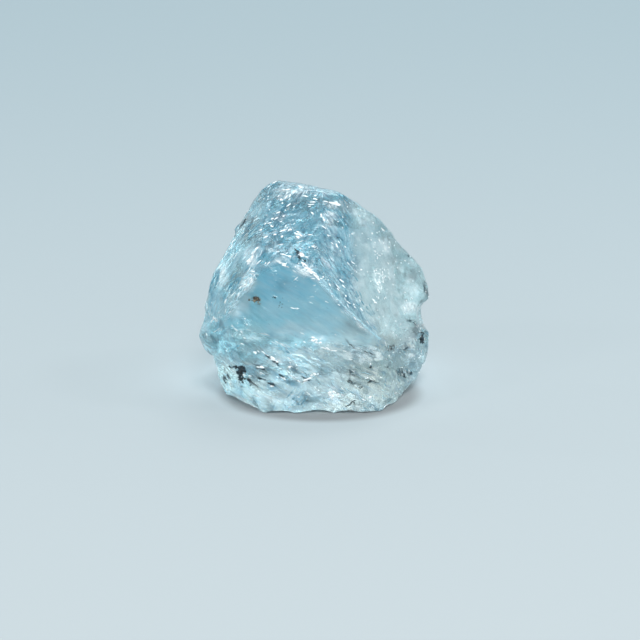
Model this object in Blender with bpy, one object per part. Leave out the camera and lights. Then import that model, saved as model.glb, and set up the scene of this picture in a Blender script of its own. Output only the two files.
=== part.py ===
"""A rough aquamarine crystal: one broken, unpolished piece of beryl that stands on a flat broken base.

Metres, +Z up, origin at the middle of the base. The stone is shaped square on to its broad front, in
its own frame, and is then tipped back onto its base. In the stone's frame x runs to the right, y up
the front and z out of the front. Lengths in the tables are millimetres and angles are degrees.
"""

import math

import bmesh
import bpy
from mathutils import Matrix, Vector, noise

NAME = "aquamarine_crystal"
MM = 0.001
# The driving dimensions.
WIDTH = 21.7 * MM
LEAN = 18.0  # how far the broad front tips back once the stone sits on its base
BASE_DROP = 8.45 * MM  # from the middle of the stone down to the base, square to the base
BASE_RIM = 0.35 * MM  # height of the rounded edge all round the base
BASE_SNAP = 0.03 * MM  # anything this close to the ground is part of the flat base
ON_PLANE = 1e-7  # how close to a cut a corner counts as lying on it
BACK = 2.31 * MM  # extra depth behind the middle, which gives the stone its weight
VOXEL = 0.26 * MM
TRIANGLES = 7000
EDGE_ROUNDING = 4  # smoothing passes over the fresh breaks
SHARP_EDGE = 50.0  # a steeper turn than this is shaded as an edge
SWELL = 0.30 * MM  # height of the broad unevenness, and the length of one swell
SWELL_LENGTH = 5.0 * MM
GRAIN = 0.08 * MM
GRAIN_LENGTH = 1.4 * MM

# Every broken face: name, bearing round the outline, turn towards the front, distance from the middle.
# Bearing 0 is right and 90 is up; a turn of 0 is edge on to the front, 90 faces out and -90 faces back.
OUTLINE = (
    ("crown_ridge", 80.9, 4, 10.34),
    ("crown_shoulder", 59, 0, 9.90),
    ("right_slope", 42, -6, 9.85),
    ("right_cheek", 12, -4, 10.80),
    ("right_wall", 0, -8, 10.80),
    ("right_heel", -25, -5, 11.95),
    ("right_toe", -42, 0, 12.20),
    ("left_toe", -113, 0, 11.70),
    ("left_heel", -164, -6, 10.65),
    ("left_wall", 180, -4, 10.83),
    ("left_slope", 167.5, 2, 9.82),
    ("left_rake", 153.4, 0, 9.52),
    ("left_brow", 131.4, 2, 11.00),
    ("crown_left", 107, 2, 11.65),
)
FRONT = (
    ("window", -90, 83.2, 6.60),
    ("crown_front", 92, 46, 7.87),
    ("crown_right", 39.8, 52, 6.31),
    ("right_flat", 26.6, 41.8, 6.65),
    ("left_streaked", 154.6, 59.7, 9.00),
    ("left_outer", 153.4, 36.7, 9.85),
    ("left_crown", 122.8, 34.1, 9.26),
    ("foot_front", -90, 85.4, 6.45),
    ("foot_left", -170.5, 28.7, 10.10),
    ("foot_left_corner", -151.9, 30.5, 10.60),
    ("foot_right", -8.7, 37.2, 9.03),
    ("foot_right_corner", -9.5, 28.7, 9.13),
    ("foot_turn", -19.3, 62.4, 8.55),
)
REAR = (
    ("back_flat", 100, -76, 7.60),
    ("back_crown", 84, -38, 8.60),
    ("back_left", 166, -44, 8.90),
    ("back_brow", 132, -30, 9.60),
    ("back_right", 14, -50, 8.70),
    ("back_slope", 46, -34, 9.00),
    ("back_foot", -84, -56, 8.60),
)

# Rounded knobs that stand proud of the faces: name, middle, and reach along x, y and z.
KNOBS = (
    ("left_knob", (-8.80, -3.30, 0.5), (2.20, 2.00, 3.3)),
    ("left_knob_root", (-8.00, -2.60, -2.6), (2.30, 2.30, 3.0)),
)

# Notches bitten out of the outline: name, middle, and reach along x, y and z.
BITES = (
    ("right_notch", (11.60, -1.45, 0.0), (2.00, 1.75, 7.5)),
    ("left_notch", (-10.60, -6.10, 0.0), (1.45, 1.30, 4.2)),
    ("brow_nick", (-8.05, 6.25, 0.0), (0.75, 0.95, 4.0)),
    ("slope_nick", (7.75, 7.60, 0.0), (0.95, 0.95, 5.0)),
    ("front_scallop", (0.45, -11.55, 6.6), (1.9, 1.25, 3.0)),
)

# Shallow shells broken out of the faces: face, middle in x and y, radius of the rim, depth.
SHELLS = (
    ("window", -0.8, -1.0, 6.2, 0.50),
    ("crown_front", -1.2, 7.0, 4.6, 0.55),
    ("crown_right", 3.0, 4.6, 4.0, 0.45),
    ("right_flat", 7.6, 3.2, 4.2, 0.50),
    ("right_flat", 8.2, -0.6, 2.6, 0.40),
    ("left_streaked", -5.4, 3.6, 3.4, 0.35),
    ("foot_front", -4.2, -8.0, 3.6, 0.45),
    ("foot_front", 2.6, -6.4, 2.2, 0.25),
    ("foot_right", 8.6, -7.0, 2.8, 0.35),
    ("back_flat", -2.6, 3.0, 4.4, 0.50),
    ("back_flat", 3.4, -3.0, 4.8, 0.60),
    ("back_crown", 0.8, 8.2, 3.6, 0.40),
    ("back_left", -7.6, 0.4, 3.6, 0.40),
    ("back_right", 8.0, 1.6, 3.4, 0.40),
)


def towards(bearing, turn):
    """The direction that a face with this bearing and turn looks in."""
    round_outline, to_front = math.radians(bearing), math.radians(turn)
    flat = math.cos(to_front)
    return Vector((math.cos(round_outline) * flat, math.sin(round_outline) * flat, math.sin(to_front)))


def clear_scene():
    for obj in list(bpy.data.objects):
        bpy.data.objects.remove(obj)


def cut_flat(bm, point, normal):
    """Cut away everything past a plane and close the hole with one flat face."""
    everything = bm.verts[:] + bm.edges[:] + bm.faces[:]
    cut = bmesh.ops.bisect_plane(
        bm, geom=everything, dist=ON_PLANE, plane_co=point, plane_no=normal, clear_outer=True
    )["geom_cut"]
    rim = [part for part in cut if isinstance(part, bmesh.types.BMEdge)]
    if rim:
        bmesh.ops.contextual_create(bm, geom=rim)


def broken_faces():
    """Each broken face as (name, normal, distance in metres); the rear ones lie further out."""
    for name, bearing, turn, distance in OUTLINE + FRONT:
        yield name, towards(bearing, turn), distance * MM
    for name, bearing, turn, distance in REAR:
        yield name, towards(bearing, turn), distance * MM + BACK * -math.sin(math.radians(turn))


def base_normal():
    """Straight down, seen in the stone's own frame."""
    lean = math.radians(LEAN)
    return Vector((0, -math.cos(lean), -math.sin(lean)))


def broken_block():
    """A block with every broken face cut flat, as an object in the stone's frame."""
    bm = bmesh.new()
    bmesh.ops.create_cube(bm, size=3 * WIDTH)
    for _, normal, distance in broken_faces():
        cut_flat(bm, normal * distance, normal)
    down = base_normal()
    cut_flat(bm, down * (BASE_DROP + BASE_RIM), down)
    bmesh.ops.recalc_face_normals(bm, faces=bm.faces)
    return as_object(bm, NAME)


def as_object(bm, name):
    mesh = bpy.data.meshes.new(name)
    bm.to_mesh(mesh)
    bm.free()
    obj = bpy.data.objects.new(name, mesh)
    bpy.context.scene.collection.objects.link(obj)
    return obj


def ball(name, middle, reach, fineness=4):
    """An ellipsoid that adds to or cuts the stone, and isn't part of it."""
    bm = bmesh.new()
    bmesh.ops.create_icosphere(bm, subdivisions=fineness, radius=1.0)
    bmesh.ops.scale(bm, verts=bm.verts, vec=reach)
    bmesh.ops.translate(bm, verts=bm.verts, vec=middle)
    obj = as_object(bm, name)
    obj.hide_render = True
    obj.display_type = "WIRE"
    return obj


def shell_ball(number, face, x, y, rim, depth, faces):
    """The ball that breaks a shallow shell out of a face."""
    normal, distance = faces[face]
    x, y, rim, depth = x * MM, y * MM, rim * MM, depth * MM
    z = (distance - normal.x * x - normal.y * y) / normal.z
    radius = (rim**2 + depth**2) / (2 * depth)
    middle = Vector((x, y, z)) + normal * (radius - depth)
    return ball(f"shell_{number}_{face}", middle, (radius,) * 3, fineness=5)


def combine(stone, cutter, operation):
    step = stone.modifiers.new(cutter.name, "BOOLEAN")
    step.operation = operation
    step.object = cutter


def add_knobs_and_bites(stone):
    for name, middle, reach in KNOBS:
        combine(stone, ball(name, Vector(middle) * MM, Vector(reach) * MM), "UNION")
    for name, middle, reach in BITES:
        combine(stone, ball(name, Vector(middle) * MM, Vector(reach) * MM), "DIFFERENCE")
    faces = {name: (normal, distance) for name, normal, distance in broken_faces()}
    for number, shell in enumerate(SHELLS, 1):
        combine(stone, shell_ball(number, *shell, faces), "DIFFERENCE")


def round_edges(stone):
    remesh = stone.modifiers.new("even_mesh", "REMESH")
    remesh.mode = "VOXEL"
    remesh.voxel_size = VOXEL
    smooth = stone.modifiers.new("worn_edges", "SMOOTH")
    smooth.factor = 0.5
    smooth.iterations = EDGE_ROUNDING


def settle(stone):
    """Replace the mesh by the evaluated one and drop the modifiers and the balls."""
    evaluated = stone.evaluated_get(bpy.context.evaluated_depsgraph_get())
    stone.data = bpy.data.meshes.new_from_object(evaluated)
    for step in list(stone.modifiers):
        cutter = getattr(step, "object", None)
        stone.modifiers.remove(step)
        if cutter:
            bpy.data.objects.remove(cutter)


def roughen(stone):
    """Broad swells and a finer grain, pushed in and out along the surface."""
    mesh = stone.data
    normals = [vertex.normal.copy() for vertex in mesh.vertices]
    for vertex, normal in zip(mesh.vertices, normals):
        swell = noise.noise(vertex.co / SWELL_LENGTH) * SWELL
        grain = noise.noise(vertex.co / GRAIN_LENGTH) * GRAIN
        vertex.co += normal * (swell + grain)


def thin_out(stone):
    ratio = stone.modifiers.new("fewer_faces", "DECIMATE")
    ratio.ratio = TRIANGLES / (2 * len(stone.data.polygons))


def stand_on_base(stone):
    """Tip the stone back, cut its base flat at z = 0 and bring the origin to the middle of the base."""
    bm = bmesh.new()
    bm.from_mesh(stone.data)
    bm.transform(Matrix.Rotation(math.radians(90 - LEAN), 4, "X"))
    cut_flat(bm, Vector((0, 0, -BASE_DROP)), Vector((0, 0, -1)))
    xs = [vertex.co.x for vertex in bm.verts]
    ys = [vertex.co.y for vertex in bm.verts]
    middle = Vector(((min(xs) + max(xs)) / 2, (min(ys) + max(ys)) / 2, -BASE_DROP))
    bmesh.ops.translate(bm, verts=bm.verts, vec=-middle)
    bm.to_mesh(stone.data)
    bm.free()


def flatten_base(stone):
    """Make the base one exactly flat face again, after the thinning."""
    bm = bmesh.new()
    bm.from_mesh(stone.data)
    for vertex in bm.verts:
        if vertex.co.z < BASE_SNAP:
            vertex.co.z = 0
    base = [face for face in bm.faces if all(vertex.co.z == 0 for vertex in face.verts)]
    bmesh.ops.dissolve_faces(bm, faces=base, use_verts=True)
    bm.to_mesh(stone.data)
    bm.free()


def aquamarine():
    """Clear pale blue beryl."""
    material = bpy.data.materials.new("aquamarine")
    material.use_nodes = True
    shader = material.node_tree.nodes["Principled BSDF"]
    shader.inputs["Base Color"].default_value = (0.52, 0.78, 0.84, 1)
    shader.inputs["Roughness"].default_value = 0.12
    shader.inputs["Metallic"].default_value = 0.0
    shader.inputs["IOR"].default_value = 1.577
    shader.inputs["Transmission Weight"].default_value = 1.0
    return material


def main():
    clear_scene()
    stone = broken_block()
    add_knobs_and_bites(stone)
    round_edges(stone)
    settle(stone)
    roughen(stone)
    stand_on_base(stone)
    thin_out(stone)
    settle(stone)
    flatten_base(stone)
    stone.data.materials.append(aquamarine())
    stone.data.shade_smooth()
    stone.data.set_sharp_from_angle(angle=math.radians(SHARP_EDGE))


main()
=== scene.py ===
"""The looks of a rough aquamarine crystal: its broken surface, its clear blue body and what is in it.

Everything is in metres in the CAD frame unless a table says millimetres. Places on the stone are given
in its own front coordinates: x to the right, y up the broad front and z out of the front, in
millimetres from the stone's middle.
"""

import math

import bmesh
import bpy
import numpy as np
from mathutils import Matrix, Vector
from mathutils.bvhtree import BVHTree

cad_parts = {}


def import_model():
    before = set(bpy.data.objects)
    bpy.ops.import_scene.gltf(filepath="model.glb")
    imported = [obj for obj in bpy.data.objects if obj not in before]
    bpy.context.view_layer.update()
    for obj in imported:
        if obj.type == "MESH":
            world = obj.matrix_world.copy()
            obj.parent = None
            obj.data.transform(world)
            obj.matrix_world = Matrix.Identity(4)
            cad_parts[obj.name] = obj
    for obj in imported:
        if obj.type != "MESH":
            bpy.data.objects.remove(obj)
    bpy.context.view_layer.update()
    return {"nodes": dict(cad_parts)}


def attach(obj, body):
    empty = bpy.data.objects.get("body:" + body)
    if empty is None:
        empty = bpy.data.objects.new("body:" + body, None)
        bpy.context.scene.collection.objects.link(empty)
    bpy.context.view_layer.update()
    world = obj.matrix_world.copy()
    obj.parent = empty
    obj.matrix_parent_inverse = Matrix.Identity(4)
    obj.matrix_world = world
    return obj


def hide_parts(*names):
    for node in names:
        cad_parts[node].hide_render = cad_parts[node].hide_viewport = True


MM = 0.001
NODE = "aquamarine_crystal"
LEAN = math.radians(18.0)  # how far the broad front tips back
MIDDLE = Vector((0.05, -0.84, 8.45)) * MM  # the stone's middle, in the CAD frame
RIGHT = Vector((1.0, 0.0, 0.0))
UP_FRONT = Vector((0.0, math.sin(LEAN), math.cos(LEAN)))
OUT = Vector((0.0, -math.cos(LEAN), math.sin(LEAN)))
AXES = np.array([RIGHT, UP_FRONT, OUT])
# Each side of the stone, as its rightward, upward and outward directions when one looks at it.
FRONT_SIDE = (RIGHT, UP_FRONT, OUT)
BACK_SIDE = (-RIGHT, UP_FRONT, -OUT)
RIGHT_END = (-OUT, UP_FRONT, RIGHT)
LEFT_END = (OUT, UP_FRONT, -RIGHT)

# The stone's surface mesh.
VOXEL = 0.105 * MM
MOST_TRIANGLES = 190000
WELD = 0.001 * MM
WORN_PASSES, WORN_FACTOR = 2, 0.5

# The camera looks square on to the broad front, so it stands LEAN above level.
CAMERA_DISTANCE = 0.30
FRAME_WIDTH = 60.8 * MM  # how much the picture takes in at the stone
AIM = (0.475, -1.9)  # the picture's middle, across and up the front, in millimetres
SENSOR = 36.0

BERYL_IOR = 1.577
PALE_TINT = (1.0, 1.0, 0.99)
BLUE_TINT = (0.24, 0.66, 0.84)
DEEP_TINT = (0.015, 0.16, 0.28)
# The grey of the smoky patches, which are partly painted shade.
SMOKE_AND_SHADE_TINT = (0.09, 0.13, 0.14)
SKY_TINT = (0.27, 0.78, 0.95)
MOSS_TINT = (0.74, 0.68, 0.55)
DARK_TINT = (0.012, 0.026, 0.032)
ABSORBED = (0.45, 0.88, 0.88, 1)  # what is left of white light, and how fast that happens per metre
ABSORPTION = 10.0
GRAIN_DETAIL = 3.0
GRAIN_DEPTH = 0.03 * MM
FIBRES_BETWEEN, MOST_FIBRES = (0.47, 0.62), 0.75  # where the grain turns to deep blue fibres, and how far
BRUISED_BETWEEN, BRUISED_SHARE = (0.62, 0.38), (0.4, 1.3)  # how the grain breaks up the milky strokes

FLOOR_FRONT, FLOOR_BACK = -0.12, 0.20
FLOOR_FRONT_COLOUR = (0.375, 0.406, 0.420, 1)
FLOOR_BACK_COLOUR = (0.267, 0.327, 0.355, 1)
# The colour of the shadow painted on the floor under the stone.
PAINTED_SHADOW_COLOUR = (0.205, 0.217, 0.224, 1)
# A shadow painted on the floor under the stone: its middle, its half sizes, and where it is darkest and
# gone.
PAINTED_SHADOW_MIDDLE = (0.6, -3.5)
PAINTED_SHADOW_REACH = (9.9, 8.3)
PAINTED_SHADOW_INSIDE, PAINTED_SHADOW_OUTSIDE = 0.84, 1.04
# Round the stone a pool of light is painted on the floor: by how much it lightens at most, how fast that
# fades, and the brightest part's middle and half sizes.
PAINTED_POOL_GAIN, PAINTED_POOL_FADE = 0.5, -4.0
PAINTED_POOL_MIDDLE = (-0.5, 0.6)
PAINTED_POOL_REACH = (10.5, 9.0)
FLOOR_RADIUS, FLOOR_CORNERS, FLOOR_DROP = 2.0, 96, 0.02 * MM
FLOOR_ROUGHNESS, FLOOR_SHINE = 0.9, 0.1
WORLD_COLOUR, WORLD_STRENGTH = (0.86, 0.94, 0.97, 1), 1.3
WALL_COLOUR = (0.48, 0.58, 0.62, 1)  # what is seen past the floor's edge


# ---------------------------------------------------------------- noise and shape helpers


def lattice_direction(cell, seed):
    """A repeatable random unit vector for every cell corner."""
    mixed = cell[:, 0] * 374761393 + cell[:, 1] * 668265263 + cell[:, 2] * 2147483647 + seed * 1274126177
    mixed = (mixed ^ (mixed >> 13)) * 1103515245 & 0x7FFFFFFF
    mixed = (mixed ^ (mixed >> 11)) * 1274126177 & 0x7FFFFFFF
    turn = (mixed & 0xFFFF) / 0xFFFF * 2 * math.pi
    height = ((mixed >> 15) & 0xFFFF) / 0xFFFF * 2 - 1
    flat = np.sqrt(1 - height**2)
    return np.stack((flat * np.cos(turn), flat * np.sin(turn), height), axis=1)


def noise(points, seed=0):
    """Smooth gradient noise, about -1 to 1, one value per point."""
    cell = np.floor(points).astype(np.int64)
    inside = points - cell
    blend = inside**3 * (inside * (inside * 6 - 15) + 10)
    total = np.zeros(len(points))
    for corner in np.ndindex(2, 2, 2):
        offset = np.array(corner)
        share = np.where(offset, blend, 1 - blend).prod(axis=1)
        slope = (lattice_direction(cell + offset, seed) * (inside - offset)).sum(axis=1)
        total += share * slope
    return total * 1.6


def crests(points, seed=0):
    """Noise folded into sharp crests: 1 on a crest, falling to about 0."""
    return 1 - np.abs(noise(points, seed)) * 1.8


def lattice_point(cell, seed):
    """A repeatable random place inside every cell."""
    return lattice_direction(cell, seed) * 0.38 + 0.5


def shells(points, seed=0):
    """Overlapping hollows with sharp edges where they meet: 1 in the middle of a hollow, 0 at its edge."""
    cell = np.floor(points).astype(np.int64)
    nearest = np.full(len(points), 9.0)
    for corner in np.ndindex(3, 3, 3):
        other = cell + np.array(corner) - 1
        gap = other + lattice_point(other, seed) - points
        nearest = np.minimum(nearest, (gap**2).sum(axis=1))
    return 1 - np.minimum(nearest, 1.0)


def smooth_step(value, low, high):
    t = np.clip((value - low) / (high - low), 0, 1)
    return t * t * (3 - 2 * t)


def saw(value, soft=0.25):
    """A repeating ramp that climbs slowly and drops fast, as broken steps do."""
    phase = value - np.floor(value)
    return np.minimum(phase / (1 - soft), (1 - phase) / soft)


def line_gap(x, y, start, end):
    """How far each point is from the straight line between two places."""
    dx, dy = end[0] - start[0], end[1] - start[1]
    t = np.clip(((x - start[0]) * dx + (y - start[1]) * dy) / (dx * dx + dy * dy), 0, 1)
    return np.hypot(x - start[0] - t * dx, y - start[1] - t * dy)


def inside_outline(x, y, corners, soft):
    """1 inside an outline drawn on the front, 0 outside, fading over the width soft."""
    nearest = np.full(len(x), 1e9)
    crossings = np.zeros(len(x), dtype=int)
    for (x0, y0), (x1, y1) in zip(corners, corners[1:] + corners[:1]):
        nearest = np.minimum(nearest, line_gap(x, y, (x0, y0), (x1, y1)))
        spans = (y0 > y) != (y1 > y)
        level = np.where(spans, (y - y0) / ((y1 - y0) or 1.0), 0)
        crossings += spans & (x < x0 + level * (x1 - x0))
    signed = np.where(crossings % 2 == 1, nearest, -nearest)
    return smooth_step(signed, -soft, soft)


def streaked(points, angle, long, wide, deep):
    """Points stretched so that noise read at them runs in streaks at this angle up the front."""
    a = math.radians(angle)
    along = points[:, 0] * math.cos(a) + points[:, 1] * math.sin(a)
    across = -points[:, 0] * math.sin(a) + points[:, 1] * math.cos(a)
    return np.stack((along / long, across / wide, points[:, 2] / deep), axis=1)


# ---------------------------------------------------------------- the stone's zones and relief

# Outlines on the front, in millimetres across and up it.
WINDOW = [(-8.8, -2.4), (-5.4, 2.9), (-3.0, 3.6), (0.3, 1.9), (4.2, -2.3), (6.6, -4.3), (2.0, -4.0),
          (-4.0, -3.6)]
CROWN = [(-4.9, 12.0), (-5.3, 6.0), (-5.6, 3.2), (-3.0, 3.6), (0.3, 1.9), (4.2, -2.3), (6.4, -4.2),
         (3.6, 1.0), (3.3, 12.0)]
LEFT_BAND = [(-4.9, 12.0), (-5.3, 6.0), (-5.6, 3.2), (-8.8, -2.4), (-12.0, -2.2), (-12.0, 6.0),
             (-8.0, 12.0)]
RIGHT_SIDE = [(3.3, 12.0), (3.6, 1.0), (6.4, -4.2), (12.0, -1.6), (12.0, 9.0)]
FOOT = [(-12.0, -2.2), (-8.8, -2.4), (-4.0, -3.6), (2.0, -4.0), (6.6, -4.3), (12.0, -1.6), (12.0, -13.0),
        (-12.0, -13.0)]
OUTLINES = {"window": WINDOW, "crown": CROWN, "left": LEFT_BAND, "right": RIGHT_SIDE, "foot": FOOT}
OUTLINE_SOFTNESS = {"window": 0.7, "crown": 0.45, "left": 0.6, "right": 0.8, "foot": 1.1}
TURNED_AWAY, TURNED_TO = -0.15, 0.25  # how far the surface faces the front where the back gives way to it
RIDGE = [(-8.6, -2.2), (-5.2, 3.0), (-2.9, 3.7), (0.3, 1.9), (4.2, -2.3), (6.6, -4.3)]
RIDGE_WIDTH = 0.6
# The milky line along the broken edge is partly a painted highlight.
RIDGE_MILK, MOST_MILK = 0.45, 0.75
RIDGE_STARTS, RIDGE_ENDS = (-5.5, -3.0), (4.0, 6.0)  # where its milkiness comes and goes, across the front
PATCH_FADE = (0.25, 1.15)  # where a patch starts to fade and where it is gone, as shares of its half size
CROWN_LEFT_ANGLE, CROWN_RIGHT_ANGLE = 46.0, -57.0
FLANKS_MEET = (-1.2, 1.6)  # where the crown's streaks turn from one angle to the other
MEAN_RELIEF = 0.06
CALM_TOP, CALM_FROM = 0.65, (8.2, 10.0)  # how much smoother the top of the crown is, and where it turns so
MOST_PROUD = 0.22
NOTCH_MIDDLE, NOTCH_RADIUS, NOTCH_DEPTH = (0.5, -10.4), 1.5, 0.5  # a hollow in the foot's lower edge
BASE_EDGE = (0.1 * MM, 1.2 * MM)  # the heights over which the base's relief gives way to that of the sides

# The blue deepens from the lower right to the upper left, all through the stone. Each zone of the front
# adds its own share, and has its own roughness.
BLUE_TOWARDS = (-0.6, 0.8)
BLUE_FROM, BLUE_TO, MOST_BLUE = -6.0, 6.0, 0.75  # where along that it starts and is full, and how far
BLUE = {"window": 0.32, "crown": 0.25, "left": -0.05, "right": -0.25, "foot": -0.05, "back": -0.25}
FROST = {"window": 0.32, "crown": 0.22, "left": 0.22, "right": 0.27, "foot": 0.20, "back": 0.26}
GLITTER = {"window": 0.15, "crown": 0.9, "left": 0.5, "right": 0.2, "foot": 0.48, "back": 0.6}
# Each zone's tint; the foot's dark tint is partly painted shade that darkens the brightly lit foot.
ZONE_TINT_AND_SHADE = {
    "window": (0.50, 0.84, 0.94),
    "crown": (0.54, 0.82, 0.88),
    "left": (0.84, 0.95, 0.96),
    "right": (0.76, 0.95, 0.95),
    "foot": (0.42, 0.50, 0.51),
    "back": (1.0, 1.0, 1.0),
}
# How unevenly each zone is streaked: with more or less blue, and with strokes of the deepest blue.
UNEVEN_BLUE = {"window": 0.36, "crown": 0.50, "left": 0.42, "right": 0.12, "foot": 0.45, "back": 0.45}
STREAKS = {"window": 0.22, "crown": 1.05, "left": 0.48, "right": 0.12, "foot": 0.60, "back": 0.4}
# How milky each zone's bruised strokes are.
MILK = {"window": 0.16, "crown": 0.40, "left": 0.28, "right": 0.15, "foot": 0.28, "back": 0.30}
STREAK_ANGLE = {"window": -32.0, "left": 60.0, "right": -66.0, "foot": -30.0, "back": -20.0}
STREAK_LENGTH = {"window": 1.2, "left": 1.8, "right": 0.4, "foot": 1.3, "back": 1.2}
FINE_LONG, FINE_WIDE, FINE_DEEP = 0.9, 0.17, 0.45
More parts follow.
